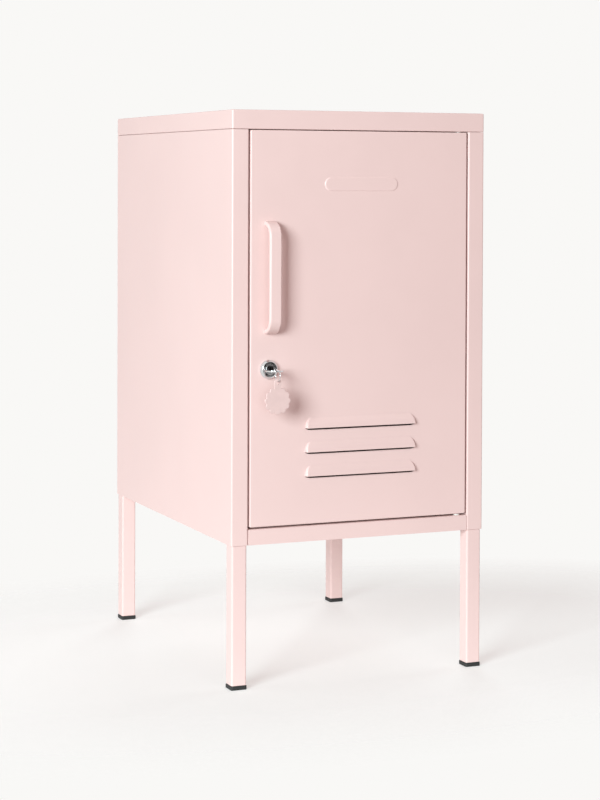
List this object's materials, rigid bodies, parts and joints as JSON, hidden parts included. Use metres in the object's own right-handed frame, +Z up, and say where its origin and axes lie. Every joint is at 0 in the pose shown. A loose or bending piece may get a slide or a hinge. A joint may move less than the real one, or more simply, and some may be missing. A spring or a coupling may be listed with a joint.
{
  "type": "locker cabinet",
  "caption": "Small pink steel locker cabinet on square tube legs, with a louvred door, D pull handle, cylinder lock with key and round tag, and a lift-out shelf.",
  "frame": {"origin": "on the floor, at the middle of the whole object's plan, key and tag included", "axes": "+Z up, the door faces -Y, +X to the right of someone facing the door"},
  "size_m": [0.35, 0.4994, 0.72],
  "materials": {
    "pink_coat": "satin powder coat",
    "black_plastic": "moulded, matt",
    "black_rubber": "moulded, matt",
    "white_nylon": "moulded, satin",
    "bright_chrome": "polished",
    "zinc_steel": "bright zinc plate"
  },
  "bodies": {
    "cabinet": {"back_panel": "pink_coat", "back_screw_low_left": "pink_coat", "back_screw_low_right": "pink_coat", "back_screw_mid_left": "pink_coat", "back_screw_mid_right": "pink_coat", "back_screw_top_left": "pink_coat", "back_screw_top_right": "pink_coat", "cable_grommet": "black_rubber", "door_bumper_bottom": "black_rubber", "door_bumper_top": "black_rubber", "floor_panel": "pink_coat", "floor_screw_back_left": "zinc_steel", "floor_screw_back_right": "zinc_steel", "floor_screw_front_left": "zinc_steel", "floor_screw_front_right": "zinc_steel", "foot_cap_back_left": "black_plastic", "foot_cap_back_right": "black_plastic", "foot_cap_front_left": "black_plastic", "foot_cap_front_right": "black_plastic", "hinge_bush_bottom": "white_nylon", "hinge_bush_top": "white_nylon", "leg_back_left": "pink_coat", "leg_back_right": "pink_coat", "leg_bolt_back_left": "zinc_steel", "leg_bolt_back_right": "zinc_steel", "leg_bolt_front_left": "zinc_steel", "leg_bolt_front_right": "zinc_steel", "leg_front_left": "pink_coat", "leg_front_right": "pink_coat", "shelf_rail_left": "pink_coat", "shelf_rail_right": "pink_coat", "side_panel_left": "pink_coat", "side_panel_right": "pink_coat", "top_panel": "pink_coat", "top_screw_back_left": "zinc_steel", "top_screw_back_right": "zinc_steel", "top_screw_front_left": "zinc_steel", "top_screw_front_right": "zinc_steel"},
    "door": {"door_skin": "pink_coat", "door_stiffener": "pink_coat", "handle": "pink_coat", "handle_screw_high": "zinc_steel", "handle_screw_low": "zinc_steel", "hinge_pin_top": "zinc_steel", "hinge_pin_bottom": "zinc_steel", "lock_body": "bright_chrome", "lock_nut": "zinc_steel"},
    "lock": {"lock_plug": "bright_chrome", "lock_cam": "zinc_steel", "cam_screw": "zinc_steel"},
    "key": {"key": "bright_chrome"},
    "ring": {"key_ring": "bright_chrome"},
    "tag": {"key_tag": "pink_coat"},
    "shelf": {"shelf": "pink_coat"}
  },
  "joints": [
    {"name": "door_hinge", "type": "hinge", "parent": "cabinet", "child": "door", "pos_m": [0.14, -0.2058, 0.2013], "axis": [0, 0, 1], "range_deg": [0, 110]},
    {"name": "lock_turn", "type": "hinge", "parent": "door", "child": "lock", "pos_m": [-0.1258, -0.2118, 0.3975], "axis": [0, 1, 0], "range_deg": [0, 90]},
    {"name": "key_slide", "type": "slide", "parent": "lock", "child": "key", "axis": [0, -1, 0], "range_m": [0, 0.03]},
    {"name": "ring_hang", "type": "hinge", "parent": "key", "child": "ring", "pos_m": [-0.1258, -0.2416, 0.3975], "axis": [0, 1, 0], "range_deg": [-45, 0]},
    {"name": "tag_hang", "type": "hinge", "parent": "ring", "child": "tag", "pos_m": [-0.1258, -0.2416, 0.3849], "axis": [0, 1, 0], "range_deg": [-45, 0]},
    {"name": "shelf_lift", "type": "slide", "parent": "cabinet", "child": "shelf", "axis": [0, 0, 1], "range_m": [0, 0.05]}
  ],
  "couplings": [
    {"joint": "ring_hang", "follows": "lock_turn", "ratio": -0.5},
    {"joint": "tag_hang", "follows": "lock_turn", "ratio": -0.5}
  ]
}
